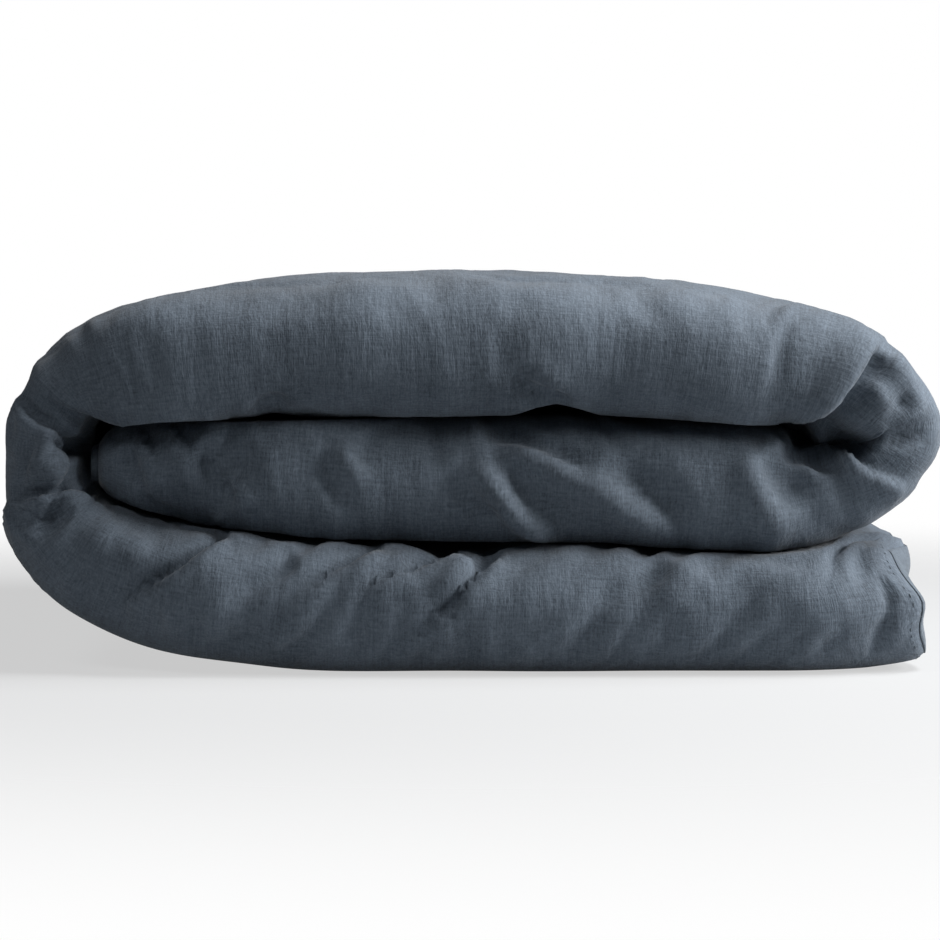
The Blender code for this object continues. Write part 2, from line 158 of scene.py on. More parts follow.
world = bpy.data.worlds.new("studio")
world.use_nodes = True
scene.world = world
tree = world.node_tree
ambient = node(tree, "ShaderNodeBackground", {}, {"Color": (0.9, 0.95, 1.0, 1), "Strength": 0.04})
surround = node(tree, "ShaderNodeBackground", {}, {"Color": (1, 1, 1, 1), "Strength": 1.0})
seen = node(tree, "ShaderNodeLightPath")
sky = node(tree, "ShaderNodeMixShader", {}, {0: seen, 1: ambient, 2: surround})
tree.links.new(sky.link, tree.nodes["World Output"].inputs["Surface"])

FLOOR_REACH = 6.0
floor_mesh = bpy.data.meshes.new("floor")
floor_mesh.from_pydata(
    [(x * FLOOR_REACH, y * FLOOR_REACH, 0) for x, y in ((-1, -1), (1, -1), (1, 1), (-1, 1))],
    [],
    [(0, 1, 2, 3)],
)
floor = bpy.data.objects.new("floor", floor_mesh)
scene.collection.objects.link(floor)
floor_material, tree, shader = new_material("pale_floor", 0.8)
shader.inputs["Base Color"].default_value = (0.40, 0.41, 0.42, 1)
shader.inputs["Emission Color"].default_value = (1, 1, 1, 1)
shader.inputs["Emission Strength"].default_value = 0.08
place = node(tree, "ShaderNodeTexCoord", output=3)
reach = node(tree, "ShaderNodeVectorMath", {"operation": "LENGTH"}, {0: place}, 1)
fade = node(tree, "ShaderNodeMapRange", {"interpolation_type": "SMOOTHSTEP"}, {0: reach, 1: 0.55, 2: 1.5})
clear = node(tree, "ShaderNodeBsdfTransparent")
glow = node(tree, "ShaderNodeEmission", {}, {"Color": (1, 1, 1, 1), "Strength": 0.98})
seen = node(tree, "ShaderNodeLightPath")
lit = node(tree, "ShaderNodeMixShader", {}, {0: seen * 0.55, 1: Socket(tree, shader.outputs[0]), 2: glow})
blended = node(tree, "ShaderNodeMixShader", {}, {0: fade, 1: lit, 2: clear})
tree.links.new(blended.link, tree.nodes["Material Output"].inputs["Surface"])
floor_mesh.materials.append(floor_material)

# ------------------------
# Folded form: the shape that all soft pieces share. u runs along the length from the foot edge,
# v across the width with the half-fold at 0, and level through one ply from back cloth to face.
MM = 0.001
LENGTH = 2.00
WIDTH = 1.40
PLY_GAP = 0.0015
EDGE_HALF = 0.00095  # half a ply where only the cover's two cloths are left
FOLD_RADIUS = 0.026
FOLD_ARC = FOLD_RADIUS * math.pi / 2
SEAM_STANDS = 0.0063  # how far the side seams stand out past the cloths
FOLD_Y = cad_high.y - SEAM_STANDS - (WIDTH / 2 - FOLD_ARC)
FOLD_SQUARE = 0.88  # 1 rounds the half-fold as a half circle, less makes its front flatter
SEAM_REACH = 0.008  # how far past its edges the form goes on, for the seams
SQUEEZE = 1.10  # the loose layers are this much thicker than their room, so they lie flat on each other
TOP_CROWN = 0.04  # how far the top layer's upper cloth swells, as a share of its ply
TOP_SINK = 0.045  # how far the top layer sinks onto the others, as a share of its thickness
LOWEST_FORWARD = 0.020  # how far the lowest layer's fold stands forward of the top one's
MIDDLE_BACK = 0.013  # how far the middle layer's fold lies back
BEND_HOLLOW = 0.024  # how far the inner side of the right bend draws back from the front
INNER_SIDE = (-0.075, -0.024, 0.016)  # where v is on that inner side, and how softly it starts and ends
# How each edge is rounded: the length over which it fills out, and its share of the full thickness
FOOT_ROUNDING = (0.080, 0.51)
HEAD_ROUNDING = (0.035, 0.30)
SIDE_ROUNDING = (0.12, 0.02)

# Middle of the doubled strip (x, z) and its thickness, in millimetres, along each stretch
LOWEST_LAYER = (
    (343.7, 51.25, 102.5), (300, 52, 104), (256, 48, 95), (200, 46, 91), (142, 47, 93),
    (60, 49, 98), (-15, 50, 99), (-108, 51, 101), (-165, 56, 101),
)
LEFT_BEND = (
    (-236, 66, 99), (-286, 84, 92), (-313, 104, 80), (-327, 129, 73), (-330, 159, 69),
    (-325, 192, 70), (-307, 221, 66), (-278, 234, 80),
)
TOP_LAYER = (
    (-236, 242, 96), (-166, 247, 98), (-85, 248, 107), (0, 248, 109), (86, 249, 104),
    (149, 245, 102), (216, 237, 97),
)
RIGHT_BEND = (
    (262, 230, 92), (293, 216, 91), (314, 199, 80), (328, 182, 72), (321, 165, 66),
    (310, 154, 68), (286, 145, 80),
)
MIDDLE_LAYER = (
    (250, 140, 93), (200, 140, 97), (147, 143, 99), (60, 147, 98), (0, 146, 97),
    (-85, 148, 99), (-150, 151, 98), (-200, 153, 92), (-235, 155, 80), (-262, 157, 66),
    (-278, 158, 56), (-287, 158, 48),
)
STRETCHES = (LOWEST_LAYER, LEFT_BEND, TOP_LAYER, RIGHT_BEND, MIDDLE_LAYER)


def smooth(x):
    """0 below 0, 1 above 1, and a smooth rise between."""
    x = np.clip(x, 0, 1)
    return x * x * (3 - 2 * x)


def window(x, start, end, soft):
    """1 between start and end, falling smoothly to 0 over soft outside them."""
    return smooth((x - start) / soft + 1) * smooth((end - x) / soft + 1)


def through(points, steps=16):
    """A smooth line through points: a cubic between each pair whose slopes come from the neighbours."""
    p = np.asarray(points, float)
    p = np.vstack([2 * p[0] - p[1], p, 2 * p[-1] - p[-2]])
    a, b, c, d = (p[i : len(p) - 3 + i, None] for i in range(4))
    t = np.linspace(0, 1, steps, endpoint=False)[None, :, None]
    line = b + t * (c - a) / 2 + t**2 * (2 * a - 5 * b + 4 * c - d) / 2 + t**3 * (3 * b - a - 3 * c + d) / 2
    return np.vstack([line.reshape(-1, p.shape[1]), p[-2]])


strip = through(np.vstack(STRETCHES)) * MM
run = np.hypot(*np.diff(strip[:, :2], axis=0).T)
strip_u = np.concatenate([[0], np.cumsum(run)])
strip_u *= LENGTH / strip_u[-1]
slope = np.gradient(strip[:, :2], strip_u, axis=0)
slope /= np.linalg.norm(slope, axis=1, keepdims=True)
strip_out = np.stack([-slope[:, 1], slope[:, 0]], axis=1)  # to the left of the run, out of the roll
counts = np.cumsum([len(s) for s in STRETCHES])
LEFT_START, LEFT_END, RIGHT_START, RIGHT_END = (strip_u[(n - 1) * 16 + 8] for n in counts[:4])


def along_strip(values, u):
    """values, given along the strip, read at u, and kept as they are past its ends."""
    return np.stack([np.interp(u, strip_u, values[:, i]) for i in range(values.shape[1])], axis=-1)


def fullness(distance, reach, least):
    """Share of the ply's thickness at a distance in from an edge: a quarter ellipse from least to 1."""
    t = np.clip(distance / reach, 0, 1)
    return least + (1 - least) * np.sqrt(1 - (1 - t) ** 2)


def form(u, v, side):
    """Folded place of (u, v) on the face cloth (side 1) or the back cloth (side -1) of the ply.

    Across the width the ply is a U round the half-fold. The U stands on the strip's middle line, and
    its depth is measured at right angles to that line. Round the fold, its reach and its depth are
    powers of the cosine and sine of one angle."""
    u, v = np.broadcast_arrays(u, v)
    beyond_end = np.maximum(-u, 0) - np.maximum(u - LENGTH, 0)
    centre = along_strip(strip[:, :2], u) + np.stack([beyond_end, 0 * u], axis=-1)
    out = along_strip(strip_out, u)
    pressed = window(u, LEFT_END, LENGTH - 0.03, 0.05) * (1 - window(u, RIGHT_START, RIGHT_END, 0.05))
    thickness = np.interp(u, strip_u, strip[:, 2]) * (1 + (SQUEEZE - 1) * pressed)
    ply = (thickness - PLY_GAP) / 2
    on_top = window(u, LEFT_END, RIGHT_START, 0.10)
    centre = centre - out * (TOP_SINK * thickness * on_top)[..., None]
    past_fold = np.abs(v) - FOLD_ARC
    swell = np.sin(math.pi * np.clip(past_fold / (WIDTH / 2 - FOLD_ARC), 0, 1))
    crown = TOP_CROWN * on_top * (v > 0) * swell
    along = np.minimum(fullness(u, *FOOT_ROUNDING), fullness(LENGTH - u, *HEAD_ROUNDING))
    across = fullness(WIDTH / 2 - np.abs(v), *SIDE_ROUNDING)
    half = EDGE_HALF + (ply / 2 - EDGE_HALF) * along * across
    radius = ply / 2 + PLY_GAP / 2 + side * half + crown * ply * (1 + side) / 2
    angle = np.clip(v / FOLD_RADIUS, -math.pi / 2, math.pi / 2)
    forward = LOWEST_FORWARD * window(u, 0.10, LEFT_START, 0.08)
    forward = forward - MIDDLE_BACK * window(u, RIGHT_END, LENGTH, 0.05)
    bend_middle = window(u, RIGHT_START + 0.02, RIGHT_END - 0.02, 0.04)
    hollow = BEND_HOLLOW * bend_middle * window(v, *INNER_SIDE)
    y = hollow + FOLD_Y - forward * window(v, -FOLD_ARC, FOLD_ARC, 0.10)
    y = y + np.maximum(past_fold, 0) - radius * np.abs(np.cos(angle)) ** FOLD_SQUARE
    depth = radius * np.sign(angle) * np.abs(np.sin(angle)) ** FOLD_SQUARE
    x, z = centre[..., 0] + depth * out[..., 0], centre[..., 1] + depth * out[..., 1]
    return np.stack([x, y, z], axis=-1)


def rows(*stretches):
    """Row places over (start, end, spacing) stretches that follow on from each other."""
    parts = [np.linspace(a, b, max(2, round((b - a) / s) + 1))[:-1] for a, b, s in stretches]
    return np.concatenate([*parts, [stretches[-1][1]]])


U_ROWS = rows(
    (-SEAM_REACH, 0.0, 0.004), (0.0, 0.06, 0.005), (0.06, LEFT_START - 0.07, 0.0060),
    (LEFT_START - 0.07, LEFT_END, 0.0030), (LEFT_END, RIGHT_START, 0.0058),
    (RIGHT_START, RIGHT_END, 0.0029), (RIGHT_END, 1.93, 0.0054), (1.93, LENGTH, 0.005),
    (LENGTH, LENGTH + SEAM_REACH, 0.004),
)
EDGE = WIDTH / 2
V_ROWS = rows(
    (-EDGE - SEAM_REACH, -EDGE, 0.004), (-EDGE, -0.64, 0.012), (-0.64, -0.10, 0.060),
    (-0.10, -0.055, 0.009), (-0.055, 0.055, 0.0031), (0.055, 0.12, 0.0085),
    (0.12, 0.64, 0.0175), (0.64, EDGE, 0.012), (EDGE, EDGE + SEAM_REACH, 0.004),
)
U, V = np.meshgrid(U_ROWS, V_ROWS, indexing="ij")
face_form = form(U, V, 1)
back_form = form(U, V, -1)


def outward(grid):
    """Unit normals of a grid of points, from its two directions."""
    normal = np.cross(np.gradient(grid, axis=0), np.gradient(grid, axis=1))
    return normal / np.maximum(np.linalg.norm(normal, axis=-1, keepdims=True), 1e-12)


OUT_SIGN = np.sign((outward(face_form) * (face_form - back_form)).sum())
face_out = outward(face_form) * OUT_SIGN

# ------------------------
# Creases: where the doubled strip is folded, the loose cover is pressed into valleys and ridges and
# turns over on itself. Each one is a line across the front, in millimetres (x, z), with its height.
CREASE_SCALE = 1.9  # soft creases are this many times as high as listed
STEP_SOFT = 2.4  # half width of a tuck's step, in millimetres
# Where the face cloth shows from the front: round the half-fold and a little way past it
front = window(V, -FOLD_ARC, FOLD_ARC, 0.05)
ON_LOWEST = window(U, 0, LEFT_START, 0.03)
ON_LEFT = window(U, LEFT_START, LEFT_END, 0.03)
ON_TOP = window(U, LEFT_END, RIGHT_START, 0.03)
ON_RIGHT = window(U, RIGHT_START, RIGHT_END, 0.03)
ON_MIDDLE = window(U, RIGHT_END, LENGTH, 0.03)


def beside(points, x, z):
    """Distance to a line through points (mm), on its left (+) or right (-), and the share of its run."""
    line = through(points, 5) * MM
    start, step = line[:-1], np.diff(line, axis=0)
    length = np.hypot(*step.T)
    before = np.concatenate([[0], np.cumsum(length)])
    gap = np.stack([x, z], axis=-1)[..., None, :] - start
    t = np.clip((gap * step).sum(-1) / length**2, 0, 1)
    miss = gap - t[..., None] * step
    far = np.hypot(miss[..., 0], miss[..., 1])
    near = far.argmin(-1)[..., None]
    turn = step[..., 0] * gap[..., 1] - step[..., 1] * gap[..., 0]

    def pick(values):
        return np.take_along_axis(np.broadcast_to(values, far.shape), near, -1)[..., 0]

    share = (pick(before[:-1]) + pick(t) * pick(length)) / before[-1]
    return pick(far), np.where(pick(turn) >= 0, 1.0, -1.0), share


def press(where, depth, width, points, ends=(0.4, 0.4)):
    """A soft valley (depth below 0) or ridge (above 0): a bell across a line, fading over the shares
    of its run in ends."""
    shown = where * front > 1e-3
    far, _, share = beside(points, face_form[..., 0][shown], face_form[..., 2][shown])
    fade = smooth((share + 0.02) / ends[0]) * smooth((1.02 - share) / ends[1])
    bell = np.exp(-((far / (width * MM)) ** 2))
    height = np.zeros_like(U)
    height[shown] = (where * front)[shown] * CREASE_SCALE * depth * MM * fade * bell
    return height


def tuck(where, rise, fall, width, points, ends):
    """A folded-over edge: a step along a line. Its left stands up by rise and its right sinks by fall,
    and each dies away from the line as a bell."""
    shown = where * front > 1e-3
    far, side, share = beside(points, face_form[..., 0][shown], face_form[..., 2][shown])
    fade = smooth((share + 0.02) / ends[0]) * smooth((1.02 - share) / ends[1])
    step = np.tanh(side * far / (STEP_SOFT * MM))
    risen = rise * np.exp(-((far / (width * 1.6 * MM)) ** 2))
    sunk = fall * np.exp(-((far / (width * MM)) ** 2))
    height = np.zeros_like(U)
    height[shown] = (where * front)[shown] * fade * step * np.where(step > 0, risen, sunk) * MM
    return height


LEFT_SIDE = np.maximum(ON_LEFT, ON_TOP)
RIGHT_SIDE = np.maximum(ON_RIGHT, ON_TOP)
RIGHT_MIDDLE = np.maximum(ON_RIGHT, ON_MIDDLE)
LEFT_FOOT = np.maximum(ON_LOWEST, ON_LEFT)
lift = sum((
    tuck(LEFT_SIDE, 5, 10, 12,
        ((-340, 238), (-328, 222), (-310, 211), (-290, 201), (-271, 195), (-245, 192), (-205, 191)),
        (0.45, 0.3)),
    tuck(ON_LEFT, 6, 12, 8,
        ((-290, 166), (-300, 174), (-308, 184), (-320, 193), (-332, 199), (-343, 209), (-352, 222)),
        (0.1, 0.3)),
    press(ON_LEFT, -6, 4, ((-291, 167), (-302, 172), (-311, 179), (-320, 188)), (0.2, 0.4)),
    press(ON_LEFT, 5, 18, ((-306, 156), (-338, 172)), (0.3, 0.3)),
    tuck(ON_LEFT, 6, 7, 9,
        ((-290, 133), (-302, 139), (-320, 141), (-336, 138), (-350, 134), (-362, 136)),
        (0.1, 0.4)),
    tuck(LEFT_FOOT, 6, 12, 8,
        ((-184, 107), (-203, 96), (-218, 84), (-234, 73), (-250, 64), (-272, 50)),
        (0.08, 0.5)),
    press(ON_LEFT, 4, 16, ((-300, 112), (-262, 98), (-226, 96))),
    press(ON_LEFT, -3, 10, ((-338, 108), (-322, 119), (-305, 132)), (0.5, 0.3)),
    press(ON_TOP, -4, 8, ((-164, 198), (-150, 204), (-134, 200))),
    press(ON_TOP, -4, 7, ((34, 230), (40, 218), (50, 208), (62, 203)), (0.4, 0.3)),
    press(ON_TOP, -5, 9, ((48, 200), (62, 205), (80, 199))),
    press(ON_TOP, 2, 9, ((52, 240), (62, 222), (80, 208)), (0.4, 0.3)),
    tuck(RIGHT_SIDE, 8, 16, 14,
        ((235, 188), (259, 193), (279, 204), (290, 217), (298, 229), (306, 240), (314, 246)),
        (0.25, 0.1)),
    press(ON_RIGHT, -3, 6, ((338, 222), (332, 208), (326, 196))),
    press(ON_RIGHT, 4, 7, ((320, 240), (334, 218), (346, 197)), (0.2, 0.4)),
    press(ON_RIGHT, 3, 6, ((302, 226), (312, 208), (320, 192))),
    press(ON_RIGHT, -4, 6, ((358, 183), (342, 179), (324, 175), (304, 172)), (0.3, 0.5)),
    press(ON_RIGHT, 2, 11, ((376, 184), (360, 184)), (0.01, 0.6)),
    tuck(RIGHT_MIDDLE, 9, 4, 9,
        ((332, 142), (316, 148), (300, 156), (288, 169), (272, 181), (256, 188)),
        (0.08, 0.3)),
    press(RIGHT_MIDDLE, -6, 8, ((236, 178), (258, 170), (278, 160), (290, 150)), (0.3, 0.4)),
    press(ON_MIDDLE, 4, 12, ((208, 176), (216, 148), (232, 116), (246, 102)), (0.3, 0.3)),
    press(ON_MIDDLE, -7, 14, ((222, 172), (238, 150), (254, 124))),
    press(ON_MIDDLE, -5, 8, ((16, 192), (52, 180), (80, 166), (104, 150)), (0.2, 0.5)),
    press(ON_MIDDLE, 6, 9, ((14, 184), (49, 169), (86, 147), (117, 125), (146, 103)), (0.3, 0.3)),
    press(ON_MIDDLE, 3, 8, ((82, 168), (106, 144), (134, 122), (160, 104)), (0.4, 0.3)),
    press(ON_MIDDLE, -5, 11, ((104, 172), (126, 150), (154, 128), (180, 110))),
    press(ON_MIDDLE, 6, 8, ((0, 166), (22, 141), (43, 118), (74, 104)), (0.3, 0.3)),
    press(ON_MIDDLE, -5, 8, ((-18, 160), (4, 132), (26, 112)), (0.4, 0.3)),
    press(ON_MIDDLE, -4, 8, ((28, 158), (52, 136), (84, 112)), (0.4, 0.3)),
    press(ON_MIDDLE, 4, 7, ((-98, 178), (-84, 156), (-74, 142))),
    press(ON_MIDDLE, -4, 8, ((-120, 176), (-104, 150), (-84, 122))),
    press(ON_MIDDLE, 4, 8, ((-196, 160), (-176, 142), (-154, 122))),
    press(ON_MIDDLE, -4, 7, ((-212, 168), (-190, 146), (-170, 124))),
    press(ON_MIDDLE, -4, 6, ((-262, 176), (-258, 154), (-250, 136))),
    tuck(ON_LOWEST, 5, 9, 9, ((-66, 98), (-96, 84), (-122, 68), (-150, 52)), (0.1, 0.6)),
    tuck(ON_LOWEST, 5, 11, 9, ((-8, 99), (-42, 83), (-76, 69), (-104, 58)), (0.1, 0.5)),
    press(ON_LOWEST, 5, 8, ((2, 94), (-12, 76), (-30, 60)), (0.2, 0.5)),
    tuck(ON_LOWEST, 5, 10, 10, ((22, 97), (3, 74), (-10, 58), (-32, 38), (-54, 24)), (0.1, 0.5)),
    press(ON_LOWEST, 4, 9, ((-44, 92), (-76, 76), (-100, 64)), (0.2, 0.5)),
    press(ON_LOWEST, -4, 8, ((-130, 94), (-160, 74), (-186, 58)), (0.2, 0.5)),
    press(ON_LOWEST, -4, 9, ((150, 88), (120, 68), (84, 50)), (0.2, 0.5)),
    press(ON_LOWEST, 3, 12, ((180, 86), (160, 62), (140, 40)), (0.3, 0.5)),
))

# ------------------------
# Loose cloth: long shallow waves in every direction, and slanted ones where the strip is pulled
# round its bends. They are the same on each run, and die out at the seams, the zip and the ground.
random = np.random.default_rng(7)
loose = np.zeros_like(U)
for size, height, count in ((0.28, 1.6, 7), (0.16, 1.5, 9), (0.09, 0.9, 9), (0.035, 0.3, 9)):
    headings = random.uniform(0, math.pi, count)
    offsets = random.uniform(0, 2 * math.pi, count)
    stretches = random.uniform(0.7, 1.4, count)
    for heading, offset, stretch in zip(headings, offsets, stretches):
        wave = (U * math.cos(heading) + V * math.sin(heading)) * 2 * math.pi / (size * stretch) + offset
        loose += height * MM * np.cos(wave) / math.sqrt(count)
for where, slant, size, height in (
    (ON_LOWEST, -0.75, 0.034, 1.7), (ON_LOWEST, -0.95, 0.019, 0.9),
    (ON_MIDDLE, 0.85, 0.031, 1.8), (ON_MIDDLE, 0.65, 0.018, 1.0),
    (ON_LEFT, 0.15, 0.024, 0.8), (ON_RIGHT, -0.2, 0.022, 0.6),
):
    wave = (U * math.cos(slant) + V * math.sin(slant)) / size
    wave = wave + 0.35 * np.sin(U * 31 + V * 17) + 0.3 * np.sin(V * 43 - U * 23)
    swell = 0.5 + 0.5 * np.sin(U * 37 + 1.3) * np.cos(V * 29 + U * 11)
    loose += where * height * MM * swell * np.sin(2 * math.pi * wave) * window(V, -0.06, 0.06, 0.05)
zip_zone = window(V, -0.62, -0.08, 0.04) * (1 - smooth((U - 0.01) / 0.05))
edge_calm = smooth((WIDTH / 2 - np.abs(V)) / 0.04) * smooth(U / 0.03) * smooth((LENGTH - U) / 0.03)
underside = window(U, 0, LEFT_START + 0.10, 0.06) * smooth((V - 0.006) / 0.028)
outline = window(U, LEFT_START, LEFT_END + 0.10, 0.05) * smooth((-face_out[..., 0] - 0.7) / 0.25)
lift *= (1 - zip_zone) * edge_calm * (1 - 0.5 * outline)
loose *= (1 - zip_zone) * edge_calm * (1 - underside) * (1 - 0.9 * outline)

CREASES_FIRST = 0.35  # share of the creases that the cloth has before it settles
face_cloth = face_form + face_out * (CREASES_FIRST * lift + loose)[..., None]
back_cloth = back_form

# ------------------------
# Settling: a short cloth simulation. The linen is cut a little larger than the filling it lies on, so
# it buckles between the places where the filling holds it, and settles into the creases.
CLOTH_GROWTH = 0.045  # share by which the linen is cut larger
CLOTH_HOLD = 0.035  # how firmly the filling holds it where it is free to move
TOP_TAUT = 0.45  # share of that growth which the top layer is spared
SIM_FRAMES = 16
MOVE_LIMIT = 0.007  # farthest that a point may move
CREASES_AFTER = 0.65  # share of the creases that is pressed in once the cloth has settled
END_LEAN = 0.010  # how far the tucked end rises behind the front
FOOT_IN = 0.022  # how far the foot end's front draws in at its top
FOOT_OUT = 0.008  # how far it stands out at its bottom
across_rows = len(V_ROWS)
i, j = np.meshgrid(np.arange(len(U_ROWS) - 1), np.arange(across_rows - 1), indexing="ij")
a = (i * across_rows + j).ravel()
trial_mesh = bpy.data.meshes.new("trial")
trial_mesh.from_pydata(
    face_cloth.reshape(-1, 3), [], np.stack([a, a + across_rows, a + across_rows + 1, a + 1], 1)
)
trial = bpy.data.objects.new("trial", trial_mesh)
scene.collection.objects.link(trial)

def weigh(name, weights, steps, least):
    """A vertex group with those weights, rounded to equal steps and never under the least."""
    group = trial.vertex_groups.new(name=name)
    for level in np.linspace(0, 1, steps + 1):
        chosen = np.nonzero(np.abs(weights.ravel() - level) <= 0.5 / steps)[0]
        group.add(chosen.tolist(), float(max(level, least)), "REPLACE")

# Held firmly away from the front, at both ends and on the ground. The top layer grows less.
held = np.clip(CLOTH_HOLD + 1 - window(V, -0.13, 0.60, 0.06), 0, 1)
held = np.maximum(held, 1 - smooth(U / 0.02) * smooth((LENGTH - U) / 0.02))
weigh("held", np.maximum(held, underside), 40, CLOTH_HOLD)
weigh("taut", TOP_TAUT * ON_TOP * (1 - np.clip(ON_LEFT + ON_RIGHT, 0, 1)), 20, 0.0)
cloth = trial.modifiers.new("cloth", "CLOTH")
cloth.settings.quality = 4
cloth.settings.mass = 0.15
cloth.settings.tension_stiffness = 12
cloth.settings.compression_stiffness = 12
cloth.settings.shear_stiffness = 4
cloth.settings.bending_stiffness = 0.06
cloth.settings.shrink_min = -CLOTH_GROWTH
cloth.settings.shrink_max = 0
cloth.settings.vertex_group_shrink = "taut"
cloth.settings.vertex_group_mass = "held"
cloth.settings.pin_stiffness = 1.0
cloth.settings.effector_weights.gravity = 0
cloth.collision_settings.use_collision = False
cloth.point_cache.frame_start = 1
cloth.point_cache.frame_end = SIM_FRAMES
for step in range(1, SIM_FRAMES + 1):
    scene.frame_set(step)
settled = trial.evaluated_get(bpy.context.evaluated_depsgraph_get())
moved = np.empty(face_cloth.size)
settled.data.vertices.foreach_get("co", moved)
scene.frame_set(1)
bpy.data.objects.remove(trial)
move = moved.reshape(face_cloth.shape) - face_cloth
far = np.linalg.norm(move, axis=-1, keepdims=True)
move *= MOVE_LIMIT * np.tanh(far / MOVE_LIMIT) / np.maximum(far, 1e-9)
face_cloth = face_cloth + move
# The insert follows the settled cloth under its creases, and keeps clear of the deepest of them
settled_out = outward(face_cloth) * OUT_SIGN
deepest = np.minimum(CREASES_AFTER * lift, 0)
for rows_apart in (1, 2, 3, 3):
    for axis in (0, 1):
        before, after = np.roll(deepest, rows_apart, axis), np.roll(deepest, -rows_apart, axis)
        deepest = np.minimum(deepest, np.minimum(before, after))
for axis in (0, 1, 0, 1):
    deepest = (np.roll(deepest, 1, axis) + 2 * deepest + np.roll(deepest, -1, axis)) / 4
case_face = face_cloth + settled_out * deepest[..., None]
narrow = 0.5 * window(U, RIGHT_START - 0.02, RIGHT_END + 0.02, 0.05) * window(V, -EDGE, 0.02, 0.03)
narrow = np.maximum(narrow, 0.25 * (1 - smooth(U / 0.12)))
narrow = np.maximum(narrow, 0.12 * window(U, LEFT_START, LEFT_END, 0.05) * window(V, -EDGE, 0.05, 0.03))
case_face += (back_cloth - case_face) * narrow[..., None]
face_cloth = face_cloth + settled_out * (CREASES_AFTER * lift)[..., None]

# The tucked end leans up against the top layer, and the foot end's front slants and ripples
rear_lift = END_LEAN * window(U, 1.83, 1.96, 0.05) * smooth((np.abs(V) - 0.04) / 0.10)
near_foot = (1 - smooth(U / 0.10)) * window(V, -0.05, 0.05, 0.05)
for cloth in (face_cloth, back_cloth, case_face):
    cloth[..., 2] += rear_lift
    z = cloth[..., 2]
    slant = FOOT_IN * smooth((z - 0.050) / 0.045) - FOOT_OUT * smooth((0.040 - z) / 0.04)
    cloth[..., 0] -= near_foot * (slant - 0.0012 * np.sin(z * 150))

# ------------------------
# Meetings: layers that lie on each other press flat along two lines, given as (x, z) in millimetres,
# and the lowest lies flat on the ground. The top layer's edge has two small notches.
LOWER_MEETING = (
    (-289, 135), (-250, 122), (-206, 110), (-165, 107), (-108, 101), (-15, 99), (101, 98), (142, 94),
    (229, 91), (256, 94), (281, 99), (300, 108),
)
UPPER_MEETING = (
    (-264, 193), (-210, 192), (-108, 194), (0, 195), (101, 196), (147, 193), (207, 189), (258, 187),
    (279, 180), (293, 173),
)
NOTCHED_MEETING = (
    (-304, 168), (-284, 180), (-262, 188), (-238, 191), (-210, 192), (-176, 193), (-150, 198), (-126, 194),
    (0, 195), (34, 196), (50, 202), (66, 205), (80, 202), (98, 196), (147, 193), (207, 189), (258, 187),
    (279, 180), (293, 173),
)
LAYER_CLEARANCE = 0.0008
GROUND_CLEARANCE = 0.0002


def keep(cloth, where, meeting, above):
    """Moves the cloth of one layer back to its own side of the line where two layers meet."""
    line = np.array(meeting) * MM
    x, z = cloth[..., 0], cloth[..., 2]
    inside = where * window(x, line[0, 0], line[-1, 0], 0.004) > 0.5
    level = np.interp(x, line[:, 0], line[:, 1])
    stop = level + LAYER_CLEARANCE if above else level - LAYER_CLEARANCE
    cloth[..., 2] = np.where(inside, np.maximum(z, stop) if above else np.minimum(z, stop), z)


for cloth in (face_cloth, back_cloth, case_face):
    keep(cloth, U < LEFT_START + 0.12, LOWER_MEETING, False)
    keep(cloth, U > RIGHT_END - 0.02, LOWER_MEETING, True)
    keep(cloth, U > RIGHT_END - 0.02, UPPER_MEETING, False)
    keep(cloth, (U > LEFT_END - 0.05) & (U < RIGHT_START + 0.02), NOTCHED_MEETING, True)
    cloth[..., 2] = np.maximum(cloth[..., 2], GROUND_CLEARANCE)

# ------------------------
# Cover: two cloths of washed linen, sewn together round the edge. The face cloth is the outside of
# the folded stack, the back cloth lies against itself inside the half-fold.
LINEN_CLOTH = 0.0008  # thickness of the cover's cloths
LINEN_DARK = (0.028, 0.040, 0.056)
LINEN_LIGHT = (0.125, 0.158, 0.198)
CLOTH_ROUGHNESS = 0.85


def at_rows(values, u, v):
    """A grid of values over (U_ROWS, V_ROWS), read by straight lines at each pair of u and v."""
    i = np.clip(np.searchsorted(U_ROWS, u) - 1, 0, len(U_ROWS) - 2)
    j = np.clip(np.searchsorted(V_ROWS, v) - 1, 0, len(V_ROWS) - 2)
    a = ((u - U_ROWS[i]) / (U_ROWS[i + 1] - U_ROWS[i]))[..., None]
    b = ((v - V_ROWS[j]) / (V_ROWS[j + 1] - V_ROWS[j]))[..., None]
    low = values[i, j] * (1 - b) + values[i, j + 1] * b
    high = values[i + 1, j] * (1 - b) + values[i + 1, j + 1] * b
    return low * (1 - a) + high * a


def ply_half(u, v, outer):
    """Half the distance between the outer cloth and the back cloth."""
    return np.linalg.norm(at_rows(outer, u, v) - at_rows(back_cloth, u, v), axis=-1) / 2


def layer(u, v, share, offset, outer=face_cloth):
    """Places at a share of half the ply (1 the outer cloth, -1 the back cloth) plus an offset in metres."""
    u, v, share, offset = np.broadcast_arrays(u, v, share, offset)
    face, back = at_rows(outer, u, v), at_rows(back_cloth, u, v)
    across = face - back
    depth = np.linalg.norm(across, axis=-1)
    return (face + back) / 2 + across * (share / 2 + offset / np.maximum(depth, 1e-9))[..., None]


